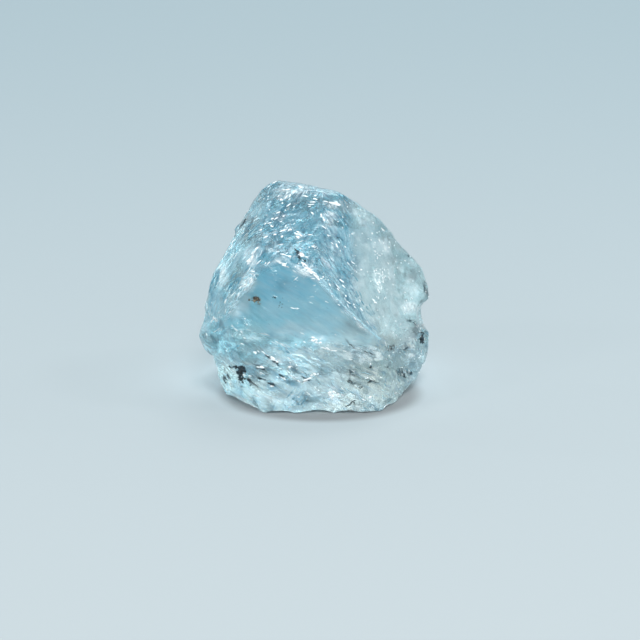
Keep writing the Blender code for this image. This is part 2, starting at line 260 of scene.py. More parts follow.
# Patches of another tint, each as its middle across and up the front, half width, half height and strength.
PATCHES = {
    "deep": (
        (-2.4, 8.1, 1.5, 1.3, 0.55), (-4.6, 4.9, 0.6, 1.0, 0.6), (-1.6, 4.2, 0.4, 0.8, 0.9),
        (0.8, 6.0, 0.9, 0.8, 0.45), (3.0, 7.2, 0.45, 0.9, 0.45), (0.0, 8.4, 0.9, 0.6, 0.5),
        (3.8, 3.4, 0.8, 1.6, 0.55), (2.6, 2.3, 0.8, 1.5, 0.5), (3.1, -0.4, 1.1, 0.8, 0.6),
        (5.2, -2.6, 0.9, 0.8, 0.5), (-1.2, 9.0, 2.2, 0.5, 0.3), (-7.4, 1.5, 1.0, 1.2, 0.45),
        (-3.0, 1.4, 2.4, 1.2, 0.4), (-8.8, -2.35, 0.65, 0.55, 1.0), (-8.9, -3.0, 1.1, 1.2, 0.55),
        (-8.4, -4.4, 0.8, 0.6, 0.4), (-9.55, -3.65, 0.6, 0.6, 1.0), (-7.2, -4.9, 1.4, 0.8, 0.32),
        (-2.5, -4.5, 1.6, 0.4, 0.4), (-1.2, -9.0, 1.0, 1.0, 0.45), (0.6, -6.0, 1.2, 0.7, 0.25),
        (6.2, -4.0, 0.8, 0.6, 0.4), (-3.4, 6.4, 1.8, 2.0, 0.65), (-1.0, 7.4, 1.3, 0.9, 0.45),
        (-1.65, 4.2, 0.3, 0.65, 1.0), (-3.4, 7.8, 1.2, 1.0, 0.2), (-0.8, 2.0, 2.2, 0.7, 0.25),
    ),
    # Grey patches: partly the beryl's own smoky grey, partly painted shade that darkens parts where too
    # much light comes through.
    "smoke_and_shade": (
        (-5.0, 10.0, 1.6, 1.4, 0.25), (-6.2, 6.7, 1.5, 2.0, 0.85), (-6.9, 7.6, 0.5, 0.7, 0.6),
        (4.5, 5.3, 1.0, 2.0, 0.2), (6.4, 3.9, 0.9, 0.7, 0.25), (9.4, 2.5, 1.0, 0.7, 0.45),
        (10.6, 1.1, 0.5, 1.1, 0.65), (3.9, -2.6, 2.3, 1.4, 0.66), (9.5, -2.5, 0.9, 1.1, 0.38),
        (7.4, -4.9, 0.9, 0.7, 0.5), (8.7, -4.6, 0.6, 0.5, 0.4), (8.3, -6.8, 1.2, 0.8, 0.6),
        (5.0, -6.8, 3.6, 2.6, 0.08), (3.5, -7.0, 0.8, 0.9, 0.66), (-8.5, -7.3, 0.7, 1.0, 0.45),
        (-3.8, -7.4, 2.2, 1.6, 0.75), (-1.4, -9.3, 1.8, 1.2, 0.4), (-4.2, -6.2, 1.0, 0.5, 0.35),
        (6.5, -8.6, 2.2, 1.0, 0.15), (-3.4, -9.0, 2.6, 1.2, 0.45), (1.6, -8.8, 2.4, 1.2, 0.4),
        (0.0, -7.0, 2.0, 0.9, 0.3), (6.5, -3.9, 1.2, 0.9, 0.8), (5.9, 0.4, 0.5, 1.2, 0.25),
        (8.0, 3.3, 0.5, 0.5, 0.4), (6.3, -0.9, 0.9, 0.8, 0.35), (-1.4, -8.8, 3.8, 1.6, 0.5),
    ),
    # Milky patches: partly the stone's milky veils, partly painted highlights and painted light on parts
    # that lie too dark.
    "milk": (
        (-6.0, 3.8, 0.9, 1.0, 0.75), (-5.3, 4.6, 0.5, 0.9, 0.45), (-0.6, 2.8, 1.1, 0.7, 0.6),
        (-1.4, 6.1, 0.6, 0.5, 0.55), (-1.2, 4.6, 0.5, 0.6, 0.45), (-3.0, 3.9, 1.3, 0.5, 0.25),
        (1.4, 9.1, 1.4, 0.4, 0.6), (0.9, 7.6, 0.5, 0.7, 0.45), (1.9, 5.3, 0.4, 1.0, 0.4),
        (-6.3, 1.5, 0.8, 1.1, 0.45), (-7.3, -1.0, 0.8, 1.2, 0.35), (-8.7, 2.6, 0.7, 1.3, 0.3),
        (6.0, 1.6, 0.5, 1.3, 0.45), (9.0, 1.0, 1.1, 0.9, 0.18), (9.0, -0.6, 0.9, 1.0, 0.35),
        (8.9, -3.4, 0.9, 0.6, 0.25), (1.8, -8.8, 0.8, 0.9, 0.55), (0.3, -3.9, 0.9, 0.5, 0.5),
        (-3.6, -5.6, 0.9, 0.6, 0.35), (-6.2, -3.5, 1.4, 0.5, 0.3), (-3.6, -9.6, 2.2, 0.5, 0.12),
        (-1.4, 10.2, 3.4, 0.9, 0.5), (4.4, 8.0, 1.2, 1.0, 0.25), (1.3, 3.3, 0.8, 0.8, 0.3),
        (1.4, 7.4, 0.6, 0.9, 0.62), (6.4, 5.4, 1.1, 1.0, 0.28),
    ),
    # Paler patches: partly the beryl's own paler zones, partly painted light and painted highlights on
    # parts that lie too dark.
    "pale": (
        (-8.6, 2.4, 1.0, 1.3, 0.55), (-6.0, 4.0, 0.8, 0.9, 0.55), (-1.4, 6.1, 0.7, 0.6, 0.5),
        (-0.9, 2.6, 1.0, 0.6, 0.6), (-6.2, 1.6, 0.8, 1.1, 0.6), (1.5, 8.9, 1.2, 0.6, 0.65),
        (9.0, 1.2, 1.2, 1.0, 0.42), (1.8, -8.8, 0.8, 0.8, 0.7), (-7.0, -3.2, 1.5, 0.7, 0.2),
        (-2.5, -5.6, 1.4, 0.5, 0.35), (-7.4, -0.8, 0.9, 1.4, 0.3), (3.3, 8.9, 1.3, 0.8, 0.6),
        (9.0, -0.6, 1.2, 0.9, 0.8), (4.6, 7.8, 1.2, 1.2, 0.5), (1.5, 7.4, 0.9, 1.1, 0.85),
        (3.9, 1.3, 0.8, 1.2, 0.4), (-2.0, 10.2, 2.6, 0.8, 0.4), (6.8, 5.6, 1.5, 1.3, 0.6),
        (-5.8, -3.2, 1.8, 0.9, 0.2), (-6.6, -0.4, 0.7, 1.6, 0.35), (1.5, 4.8, 1.2, 2.6, 0.25),
        (6.4, 5.4, 1.2, 1.2, 0.4), (-2.4, -2.7, 2.8, 0.8, 0.3), (-3.6, -0.9, 1.4, 0.8, 0.15),
        (9.5, -6.2, 1.3, 2.3, 0.9), (4.6, -5.0, 2.2, 1.0, 0.8),
    ),
    "dark": (
        (8.35, -6.85, 1.0, 0.55, 0.68), (8.0, -6.2, 0.8, 0.5, 0.5), (3.45, -6.7, 0.55, 0.5, 0.8),
        (3.6, -7.6, 0.55, 0.25, 0.6), (5.4, -7.6, 0.5, 0.2, 0.45), (7.1, -4.6, 0.6, 0.3, 0.6),
        (8.6, -4.7, 0.6, 0.3, 0.8), (9.7, -2.7, 0.6, 0.8, 0.75), (9.2, -2.0, 0.7, 0.25, 0.6),
        (9.3, -5.6, 0.8, 0.5, 0.08), (6.85, -6.3, 0.3, 0.2, 0.8), (5.6, -1.0, 0.3, 0.3, 0.45),
        (7.6, -1.6, 0.3, 0.2, 0.55), (9.2, 2.4, 0.7, 0.3, 0.45), (10.6, 1.0, 0.45, 1.2, 0.75),
        (10.2, -0.2, 0.4, 0.6, 0.55), (-8.45, -7.3, 0.5, 0.8, 0.4), (-4.4, -7.4, 1.5, 0.5, 0.35),
        (-4.0, -5.7, 0.9, 0.35, 0.5), (-5.9, -7.7, 0.6, 0.5, 0.45), (-1.5, 4.2, 0.3, 0.6, 0.8),
        (-6.95, -6.9, 0.7, 1.0, 0.5), (-7.1, 7.5, 0.4, 0.9, 0.55), (-7.6, 6.0, 0.6, 0.6, 0.35),
        (-3.0, -7.2, 3.2, 1.4, 0.9), (-3.0, -8.9, 2.6, 1.2, 0.55), (-1.0, -9.2, 2.4, 1.4, 0.85),
        (0.6, -7.2, 2.6, 1.2, 0.8), (0.8, -9.0, 2.8, 1.4, 0.55), (-6.1, 6.9, 1.3, 1.6, 0.68),
        (-5.8, 5.5, 1.5, 1.2, 0.8), (-3.4, 4.7, 1.4, 1.7, 0.42), (-4.2, 7.6, 2.0, 0.9, 0.3),
        (-8.8, -2.35, 0.5, 0.4, 0.5), (-9.55, -3.65, 0.5, 0.45, 0.4), (-8.3, -4.4, 0.9, 0.6, 0.25),
    ),
    "moss": (
        (6.0, -7.4, 4.4, 3.0, 0.75), (4.4, -3.0, 2.4, 1.4, 0.25), (2.6, -9.8, 2.4, 1.4, 0.45),
        (6.6, -3.9, 1.4, 1.1, 0.9), (9.2, -5.0, 1.7, 1.6, 0.4), (-8.3, -7.4, 1.3, 1.8, 0.5),
        (-4.5, -8.6, 3.2, 1.4, 0.25),
    ),
    "sky": (
        (-5.2, -3.8, 1.8, 0.8, 0.8), (-1.5, -4.0, 3.0, 0.8, 0.6), (-8.4, -3.9, 2.4, 1.9, 0.75),
        (-6.0, -5.2, 1.8, 0.8, 0.5), (-6.0, -3.0, 2.2, 0.9, 0.9), (-2.6, -2.2, 3.2, 1.4, 0.6),
        (-2.6, -0.8, 2.4, 0.9, 0.35), (1.4, 5.2, 1.2, 3.0, 0.55), (4.1, 3.6, 0.8, 1.6, 0.25),
        (-9.0, -3.0, 1.4, 1.6, 0.95),
    ),
}


def front_coordinates(world):
    """World points as x, y, z in the stone's front coordinates, in millimetres."""
    return (world - np.array(MIDDLE)) @ AXES.T / MM


def zone_weights(p, facing):
    """How much each zone of the front shapes each point; the rest is the plain back."""
    wobble = noise(p / 1.6, seed=5) * 0.35
    x, y = p[:, 0] + wobble, p[:, 1] - wobble
    front = smooth_step(facing, TURNED_AWAY, TURNED_TO)
    zones = {}
    for name, corners in OUTLINES.items():
        zones[name] = inside_outline(x, y, corners, OUTLINE_SOFTNESS[name]) * front
    zones["back"] = 1 - front
    return zones


def warped(p, reach, length, seed):
    """Points pushed about, so that what is drawn at them wanders."""
    pushes = [noise(p / length, seed + axis) * reach for axis in range(3)]
    return p + np.stack(pushes, axis=1)


def both_flanks(p, draw):
    """Draw once for each side of the crown's arch, where the streaks lean the other way, and blend."""
    left, right = draw(CROWN_LEFT_ANGLE), draw(CROWN_RIGHT_ANGLE)
    share = smooth_step(p[:, 0], *FLANKS_MEET)
    if left.ndim == 2:
        share = share[:, None]
    return left * (1 - share) + right * share


# The numbers in the zones' reliefs and paint are lengths in millimetres, such as how long, wide and deep a
# streak is, or how far noise is stretched. The last ones say how high, or how strong, each layer is.


def crown_relief(p):
    """Nested arches of broken steps, made of overlapping shells and crossed by fine tears."""
    q = warped(p, 0.35, 1.5, seed=11)
    reach = np.hypot(q[:, 0] / 0.6, q[:, 1] + 4.0)
    arches = saw(reach / 1.7 + noise(p / 2.0, seed=12) * 0.5, 0.3)
    arches = arches * smooth_step(noise(p / 1.8, seed=13), -0.6, 0.3)
    wide = both_flanks(q, lambda angle: shells(streaked(q, angle, 3.0, 0.9, 1.6), seed=14))
    small = both_flanks(q, lambda angle: shells(streaked(q, angle, 1.7, 0.36, 0.8), seed=15))
    tears = both_flanks(p, lambda angle: crests(streaked(p, angle, 0.9, 0.28, 0.5), seed=16))
    calm = 1 - CALM_TOP * smooth_step(p[:, 1], *CALM_FROM)
    return arches * 0.14 + (wide * 0.17 + small * 0.065 + tears * 0.025) * calm


def left_relief(p):
    """Growth lines that run down along the left edge."""
    lines = crests(streaked(p, 58.0, 5.5, 0.34, 1.4), seed=21)
    bands = noise(streaked(p, 60.0, 8.0, 1.2, 3.0), seed=22)
    chips = shells(streaked(warped(p, 0.3, 1.2, seed=23), 60.0, 2.6, 0.9, 1.4), seed=24)
    return lines * 0.035 + bands * 0.10 + chips * 0.03


def right_relief(p):
    """Soft pebbles with a few small chips."""
    q = warped(p, 0.3, 1.4, seed=31)
    pebbles = 1 - shells(q / 1.7, seed=32)
    return pebbles * 0.10 + noise(p / 1.0, seed=33) * 0.05 + shells(q / 0.8, seed=34) * 0.02


def foot_relief(p):
    """Flow streaks that run down to the right, with small sharp steps."""
    q = warped(p, 0.4, 1.8, seed=41)
    streaks = noise(streaked(q, -28.0, 4.0, 0.9, 1.6), seed=42)
    steps = saw(noise(streaked(q, -30.0, 3.0, 1.3, 1.8), seed=43) * 2.0, 0.2)
    chips = shells(streaked(q, -30.0, 2.2, 0.9, 1.2), seed=44)
    lines = crests(streaked(warped(p, 0.2, 1.2, seed=46), -30.0, 3.2, 0.5, 1.2), seed=47)
    fine = crests(streaked(p, -32.0, 1.0, 0.35, 0.6), seed=45)
    return streaks * 0.08 + steps * 0.03 + chips * 0.07 + lines * 0.035 + fine * 0.018


def window_relief(p):
    """Almost smooth, with faint flow lines."""
    flow_lines = crests(streaked(warped(p, 0.3, 1.5, seed=53), -32.0, 4.0, 0.7, 1.6), seed=54)
    low = smooth_step(p[:, 1] + 0.45 * p[:, 0], 0.5, -4.0)
    waves = noise(streaked(p, -32.0, 4.5, 1.0, 2.0), seed=51) * 0.04 + noise(p / 1.6, seed=52) * 0.03
    return waves + flow_lines * low * 0.04


def back_relief(p):
    """Wide shells, growth lines and grain."""
    q = warped(p, 0.6, 2.5, seed=61)
    steps = saw(np.hypot(q[:, 0] - 6, q[:, 1] + 9) / 2.6, 0.3)
    broken = steps * 0.14 + shells(q / 2.4, seed=62) * 0.28 + shells(q / 1.0, seed=63) * 0.08
    return broken + noise(p / 0.8, seed=64) * 0.05


def ridge_distance(p):
    """How far each point is from the broken edge between the window and the crown, in millimetres."""
    return np.min([line_gap(p[:, 0], p[:, 1], *ends) for ends in zip(RIDGE, RIDGE[1:])], axis=0)


def ridge_relief(p):
    """Crumbled chips along the broken edge between the window and the crown."""
    close = 1 - smooth_step(ridge_distance(p), 0.1, RIDGE_WIDTH)
    return close * (shells(p / 0.45, seed=71) * 0.10 - 0.04)


def base_relief(p):
    """Hollows in the base, between patches that touch what it stands on."""
    return np.maximum(shells(warped(p, 0.5, 1.6, seed=81) / 2.2, seed=82) - 0.45, 0) * 0.45


# What gives each zone's hollows, as depths below the smooth stone in millimetres.
ZONE_RELIEF = {
    "window": window_relief,
    "crown": crown_relief,
    "left": left_relief,
    "right": right_relief,
    "foot": foot_relief,
    "back": back_relief,
}


def relief(world, normals):
    """How far each point stands out from the smooth stone, in metres; hollows are below zero."""
    p = front_coordinates(world)
    facing = normals @ np.array(OUT)
    zones = zone_weights(p, facing)
    total = np.zeros(len(p))
    for name, shape in ZONE_RELIEF.items():
        depth = shape(p)
        level = (depth * zones[name]).sum() / zones[name].sum()
        total += zones[name] * np.maximum(depth - level, -MOST_PROUD)
    total -= ridge_relief(p) * (1 - zones["back"])
    low = 1 - smooth_step(world[:, 2], *BASE_EDGE)
    to_notch = np.hypot(*((p[:, :2] - NOTCH_MIDDLE) / NOTCH_RADIUS).T)
    total += NOTCH_DEPTH * np.maximum(1 - to_notch, 0)
    return -((total - MEAN_RELIEF) * (1 - low) + base_relief(p) * low) * MM


# ---------------------------------------------------------------- meshes


def link(obj):
    bpy.context.scene.collection.objects.link(obj)
    return obj


def read_vectors(mesh, name):
    """One vector from every point of a mesh."""
    flat = np.empty(len(mesh.vertices) * 3)
    mesh.vertices.foreach_get(name, flat)
    return flat.reshape(-1, 3)


def settle(obj):
    """Replace the mesh by the evaluated one and drop the modifiers."""
    evaluated = obj.evaluated_get(bpy.context.evaluated_depsgraph_get())
    obj.data = bpy.data.meshes.new_from_object(evaluated)
    obj.modifiers.clear()


def welded_copy(source, name):
    bm = bmesh.new()
    bm.from_mesh(source.data)
    bmesh.ops.remove_doubles(bm, verts=bm.verts, dist=WELD)
    mesh = bpy.data.meshes.new(name)
    bm.to_mesh(mesh)
    bm.free()
    return link(bpy.data.objects.new(name, mesh))


def stand_on_ground(obj, points):
    """Move a mesh to these points, with none of them below the ground."""
    points[:, 2] = np.maximum(points[:, 2], 0)
    obj.data.vertices.foreach_set("co", points.ravel())


def fine_stone(frame):
    """The CAD solid with the real stone's broken surface."""
    stone = welded_copy(frame["nodes"][NODE], "aquamarine_stone")
    remesh = stone.modifiers.new("fine", "REMESH")
    remesh.mode = "VOXEL"
    remesh.voxel_size = VOXEL
    worn = stone.modifiers.new("worn", "SMOOTH")
    worn.factor = WORN_FACTOR
    worn.iterations = WORN_PASSES
    settle(stone)
    points, normals = read_vectors(stone.data, "co"), read_vectors(stone.data, "normal")
    stand_on_ground(stone, points + normals * relief(points, normals)[:, None])
    thin = stone.modifiers.new("thin", "DECIMATE")
    thin.ratio = min(1.0, MOST_TRIANGLES / (2 * len(stone.data.polygons)))
    settle(stone)
    stand_on_ground(stone, read_vectors(stone.data, "co"))
    stone.data.shade_smooth()
    paint_zones(stone)
    return stone


ATTRIBUTE_KINDS = {1: ("FLOAT", "value"), 3: ("FLOAT_VECTOR", "vector"), 4: ("FLOAT_COLOR", "color")}


def write_attribute(mesh, name, values):
    """Leave one number, or one direction or colour, on every point of a mesh."""
    kind, slot = ATTRIBUTE_KINDS[values.size // len(values)]
    attribute = mesh.attributes.new(name, kind, "POINT")
    attribute.data.foreach_set(slot, values.astype(np.float32).ravel())


def mix(first, second, share):
    """Blend two colours, or two colours per point, by one share per point."""
    return np.asarray(first) * (1 - share[:, None]) + np.asarray(second) * share[:, None]


def patches(p, kind):
    """How strongly the patches of one tint colour each point."""
    q = warped(p, 0.45, 1.0, seed=101)
    total = np.zeros(len(p))
    for x, y, wide, high, strength in PATCHES[kind]:
        far = np.hypot((q[:, 0] - x) / wide, (q[:, 1] - y) / high)
        total = np.maximum(total, strength * (1 - smooth_step(far, *PATCH_FADE)))
    return total


def flow(p, zones, long, wide, deep):
    """Points stretched the way the streaks run in each zone."""
    total = zones["crown"][:, None] * both_flanks(p, lambda angle: streaked(p, angle, long, wide, deep))
    for name, angle in STREAK_ANGLE.items():
        total = total + zones[name][:, None] * streaked(p, angle, long * STREAK_LENGTH[name], wide, deep)
    return total


def by_zone(zones, shares):
    """One number per point, from a table that has one per zone."""
    return sum(zones[name] * share for name, share in shares.items())


def blueness(p, zones):
    """How blue the body is at each point."""
    along = p[:, :2] @ np.array(BLUE_TOWARDS)
    blue = MOST_BLUE * smooth_step(along, BLUE_FROM, BLUE_TO) + by_zone(zones, BLUE)
    blue += noise(p / 3.5, seed=71) * 0.10
    blue += noise(flow(p, zones, 1.6, 0.36, 0.8), seed=72) * by_zone(zones, UNEVEN_BLUE)
    return np.clip(blue, 0, 1)


def milkiness(p, q, zones, front):
    """How far bruises and broken edges make each point milky; the milky patches and the line along the
    ridge are partly painted highlights and painted light.
    """
    veil = 0.6 * noise(flow(q, zones, 1.4, 0.5, 0.9), seed=114)
    veil += 0.7 * noise(flow(p, zones, 0.8, 0.22, 0.5), seed=115)
    milk = by_zone(zones, MILK) * smooth_step(veil, 0.1, 0.9)
    milk += patches(p, "milk") * front * (0.7 + 0.7 * veil)
    ridge = RIDGE_MILK * (0.25 + 0.75 * smooth_step(p[:, 0], *RIDGE_STARTS))
    ridge = ridge * (1 - smooth_step(p[:, 0], *RIDGE_ENDS))
    milk += ridge * front * (1 - smooth_step(ridge_distance(q), 0.05, 0.35)) * (0.8 + 0.5 * veil)
    return np.clip(milk, 0, MOST_MILK)


def paint_zones(stone):
    """Leave on every point the beryl's tint, its frosting and the way its grain runs."""
    points, normals = read_vectors(stone.data, "co"), read_vectors(stone.data, "normal")
    p = front_coordinates(points)
    zones = zone_weights(p, normals @ np.array(OUT))
    front = 1 - zones["back"]
    q = warped(p, 0.3, 1.1, seed=111)
    wide = noise(flow(q, zones, 2.2, 0.7, 1.2), seed=112)
    fine = noise(flow(q, zones, 1.1, 0.28, 0.6), seed=113)
    strokes = by_zone(zones, STREAKS) * smooth_step(wide * 0.5 + fine * 0.9, 0.0, 0.7)
    tint = mix(PALE_TINT, BLUE_TINT, blueness(p, zones))
    # The zones' tints, on the foot partly painted shade.
    tint = tint * sum(zones[name][:, None] * colour for name, colour in ZONE_TINT_AND_SHADE.items())
    # Each layer of tint: its colour, how unevenly its patches lie, and what it covers besides them.
    layers = (
        ("sky", SKY_TINT, 1.0, 0.0),
        ("moss", MOSS_TINT, 1.0, 0.0),
        # The pale layer is partly painted light.
        ("pale", PALE_TINT, 1.0, 0.0),
        # The grey layer is partly painted shade.
        ("smoke_and_shade", SMOKE_AND_SHADE_TINT, 0.7 + 0.5 * wide + 0.4 * fine, 0.0),
        ("deep", DEEP_TINT, 0.8 + 0.5 * fine, strokes),
        ("dark", DARK_TINT, 0.8 + 0.6 * wide + 0.6 * fine, 0.0),
    )
    for kind, colour, uneven, besides in layers:
        tint = mix(tint, colour, np.clip(besides + patches(p, kind) * front * uneven, 0, 1))
    milk = milkiness(p, q, zones, front)
    tint = mix(tint, PALE_TINT, milk)
    write_attribute(stone.data, "milk", milk)
    write_attribute(stone.data, "tint", np.column_stack((tint, np.ones(len(p)))))
    write_attribute(stone.data, "frost", np.clip(by_zone(zones, FROST), 0, 1))
    write_attribute(stone.data, "glitter", by_zone(zones, GLITTER))
    write_attribute(stone.data, "flow", flow(p, zones, FINE_LONG, FINE_WIDE, FINE_DEEP))


# ---------------------------------------------------------------- materials

SPOTS = 3500.0  # how fine the spots on the minerals are, as a noise scale per metre
GLOSS_SPREAD = 0.08
# What the paint leaves on the stone's surface for its material to read.
SURFACE_MARKS = ("tint", "frost", "glitter", "flow", "milk")


def new_material(name):
    material = bpy.data.materials.new(name)
    material.use_nodes = True
    tree = material.node_tree
    return material, tree, tree.nodes["Principled BSDF"]


def new_node(tree, kind, **settings):
    """A node of this kind, with these settings."""
    node = tree.nodes.new("ShaderNode" + kind)
    for name, value in settings.items():
        setattr(node, name, value)
    return node


def plug(tree, value, socket):
    """Put a fixed value on a socket, or link another node's output to it."""
    if isinstance(value, bpy.types.NodeSocket):
        tree.links.new(value, socket)
    else:
        socket.default_value = value


def new_math(tree, operation, first, second, clamp=False):
    """One number worked out from two."""
    node = new_node(tree, "Math", operation=operation, use_clamp=clamp)
    plug(tree, first, node.inputs[0])
    plug(tree, second, node.inputs[1])
    return node.outputs["Value"]


def new_range(tree, value, start, end, to_start=0.0, to_end=1.0, smooth=False):
    """A number carried over from one range to another, and held there."""
    node = new_node(tree, "MapRange", interpolation_type="SMOOTHSTEP" if smooth else "LINEAR")
    sockets = {"Value": value, "From Min": start, "From Max": end, "To Min": to_start, "To Max": to_end}
    for name, given in sockets.items():
        plug(tree, given, node.inputs[name])
    return node.outputs["Result"]


def new_mix(tree, share, first, second):
    """Two colours blended by a share."""
    node = new_node(tree, "Mix", data_type="RGBA")
    plug(tree, share, node.inputs["Factor"])
    plug(tree, first, node.inputs["A"])
    plug(tree, second, node.inputs["B"])
    return node.outputs["Result"]


def new_noise(tree, place, scale, detail=2.0):
    """Soft noise read at a place."""
    node = new_node(tree, "TexNoise")
    plug(tree, place, node.inputs["Vector"])
    plug(tree, scale, node.inputs["Scale"])
    plug(tree, detail, node.inputs["Detail"])
    return node.outputs["Fac"]


def beryl():
    """Clear blue beryl that takes more red than blue out of the light on its way through."""
    material, tree, shader = new_material("clear_beryl")
    shader.inputs["IOR"].default_value = BERYL_IOR
    marks = {name: new_node(tree, "Attribute", attribute_name=name) for name in SURFACE_MARKS}
    glitter = marks["glitter"].outputs["Fac"]
    plug(tree, marks["frost"].outputs["Fac"], shader.inputs["Roughness"])
    grain = new_noise(tree, marks["flow"].outputs["Vector"], 1.0, GRAIN_DETAIL)
    fibres = new_math(tree, "MULTIPLY", new_range(tree, grain, *FIBRES_BETWEEN, 0.0, MOST_FIBRES), glitter)
    tint = new_mix(tree, fibres, marks["tint"].outputs["Color"], (*DEEP_TINT, 1))
    plug(tree, tint, shader.inputs["Base Color"])
    uneven = new_range(tree, grain, *BRUISED_BETWEEN, *BRUISED_SHARE)
    # Milkiness, which is partly painted light, turns some of what goes through into a pale diffuse share.
    milky_share = new_math(tree, "MULTIPLY", uneven, marks["milk"].outputs["Fac"])
    plug(tree, new_math(tree, "SUBTRACT", 1.0, milky_share, clamp=True), shader.inputs["Transmission Weight"])
    bump = new_node(tree, "Bump")
    bump.inputs["Distance"].default_value = GRAIN_DEPTH
    plug(tree, grain, bump.inputs["Height"])
    plug(tree, glitter, bump.inputs["Strength"])
    plug(tree, bump.outputs["Normal"], shader.inputs["Normal"])
    absorb = new_node(tree, "VolumeAbsorption")
    absorb.inputs["Color"].default_value = ABSORBED
    absorb.inputs["Density"].default_value = ABSORPTION
    plug(tree, absorb.outputs["Volume"], tree.nodes["Material Output"].inputs["Volume"])
    return material


def ellipse_reach(tree, place, middle, reach):
    """How far each point of the floor is from an ellipse's middle, where 1 is its edge."""
    patch = new_node(tree, "Mapping", vector_type="TEXTURE")
    patch.inputs["Location"].default_value = (middle[0] * MM, middle[1] * MM, 0)
    patch.inputs["Scale"].default_value = (reach[0] * MM, reach[1] * MM, 1)
    plug(tree, place, patch.inputs["Vector"])
    far = new_node(tree, "VectorMath", operation="LENGTH")
    plug(tree, patch.outputs["Vector"], far.inputs[0])
    return far.outputs["Value"]


def pale_floor():
    """Plain pale paper, a little bluer and darker towards the back, with a painted shadow close under the
    stone and a painted pool of light round it.
    """
    material, tree, shader = new_material("pale_floor")
    shader.inputs["Roughness"].default_value = FLOOR_ROUGHNESS
    shader.inputs["Specular IOR Level"].default_value = FLOOR_SHINE
    place = new_node(tree, "TexCoord").outputs["Object"]
    axes = new_node(tree, "SeparateXYZ")
    plug(tree, place, axes.inputs["Vector"])
    backward = new_range(tree, axes.outputs["Y"], FLOOR_FRONT, FLOOR_BACK, smooth=True)
    paper = new_mix(tree, backward, FLOOR_FRONT_COLOUR, FLOOR_BACK_COLOUR)
    # The painted shadow close under the stone.
    from_painted_shadow = ellipse_reach(tree, place, PAINTED_SHADOW_MIDDLE, PAINTED_SHADOW_REACH)
    fade = new_range(tree, from_painted_shadow, PAINTED_SHADOW_INSIDE, PAINTED_SHADOW_OUTSIDE, smooth=True)
    whole = new_mix(tree, fade, PAINTED_SHADOW_COLOUR, paper)
    # The painted pool of light round the stone.
    beyond = new_math(tree, "MAXIMUM", ellipse_reach(tree, place, PAINTED_POOL_MIDDLE, PAINTED_POOL_REACH), 1.0)
    extra = new_math(tree, "MULTIPLY", new_math(tree, "POWER", beyond, PAINTED_POOL_FADE), PAINTED_POOL_GAIN)
    lit = new_node(tree, "VectorMath", operation="SCALE")
    plug(tree, whole, lit.inputs[0])
    plug(tree, new_math(tree, "ADD", extra, 1.0), lit.inputs["Scale"])
    plug(tree, lit.outputs["Vector"], shader.inputs["Base Color"])
    return material


def mineral(name, low, high, roughness, turns):
    """A mineral whose colour and gloss both vary a little from spot to spot."""
    material, tree, shader = new_material(name)
    spots = new_noise(tree, new_node(tree, "TexCoord").outputs["Object"], SPOTS)
    tones = new_node(tree, "ValToRGB")
    for element, turn, colour in zip(tones.color_ramp.elements, turns, (low, high)):
        element.position = turn
        element.color = (*colour, 1)
    plug(tree, spots, tones.inputs["Fac"])
    plug(tree, tones.outputs["Color"], shader.inputs["Base Color"])
    gloss = new_range(tree, spots, *turns, roughness - GLOSS_SPREAD, roughness + GLOSS_SPREAD)
    plug(tree, gloss, shader.inputs["Roughness"])
    return material


# ---------------------------------------------------------------- what is sealed in the stone

# Dark mineral grains: middle across and up the front, spread, how many, and their size, in millimetres.
DARK_CLUSTERS = (
    # the large cluster low on the left, and its branches
    (-6.95, -6.7, 0.2, 0.25, 60, 0.34), (-6.9, -7.35, 0.16, 0.22, 40, 0.28),
    (-7.95, -6.3, 0.14, 0.05, 5, 0.1), (-5.45, 0.22, 0.12, 0.05, 6, 0.18),
    (-5.95, -7.55, 0.3, 0.25, 18, 0.075), (-5.45, -8.1, 0.4, 0.2, 20, 0.08),
    (-6.55, -8.2, 0.3, 0.15, 12, 0.08), (-8.2, -7.3, 0.35, 0.6, 26, 0.07),
    # beside the white flakes along the foot
    (-3.95, -5.95, 0.28, 0.22, 10, 0.13), (-2.9, -7.15, 0.25, 0.12, 8, 0.11),
    (-4.0, -7.95, 0.35, 0.12, 9, 0.11), (-0.95, -7.35, 0.3, 0.18, 9, 0.13),
    # the right of the foot
    (3.35, -6.95, 0.28, 0.25, 18, 0.13), (3.5, -7.75, 0.35, 0.12, 10, 0.12),
    (5.2, -6.3, 0.12, 0.1, 6, 0.17), (6.85, -6.3, 0.14, 0.1, 6, 0.15), (5.3, -7.6, 0.4, 0.15, 12, 0.11),
    (8.1, -6.9, 0.55, 0.45, 60, 0.09), (9.1, -6.95, 0.22, 0.25, 10, 0.14),
    (8.5, -4.65, 0.35, 0.15, 12, 0.12), (7.1, -4.6, 0.4, 0.15, 10, 0.09), (4.6, -7.1, 1.1, 0.5, 50, 0.07),
    (4.3, -9.8, 0.8, 0.15, 14, 0.07),
    # the right-hand knob and edge
    (10.15, -3.6, 0.1, 0.24, 24, 0.34), (9.3, -2.6, 0.5, 0.45, 60, 0.09), (10.45, 1.1, 0.12, 0.7, 20, 0.07),
    (10.35, 0.0, 0.15, 0.35, 16, 0.1), (9.2, 2.65, 0.65, 0.2, 40, 0.07), (7.1, 5.7, 0.1, 0.06, 4, 0.09),
    (8.95, 4.2, 0.1, 0.06, 4, 0.09),
    # the window, the crown and the left-hand knob
    (-3.6, -0.05, 0.3, 0.42, 18, 0.08), (-1.5, 4.2, 0.1, 0.45, 10, 0.12), (-0.8, 3.55, 0.15, 0.25, 5, 0.1),
    (-8.9, -2.4, 0.45, 0.3, 40, 0.07), (-9.4, -3.65, 0.35, 0.4, 40, 0.07),
    (-7.15, 7.0, 0.12, 0.5, 12, 0.05),
)
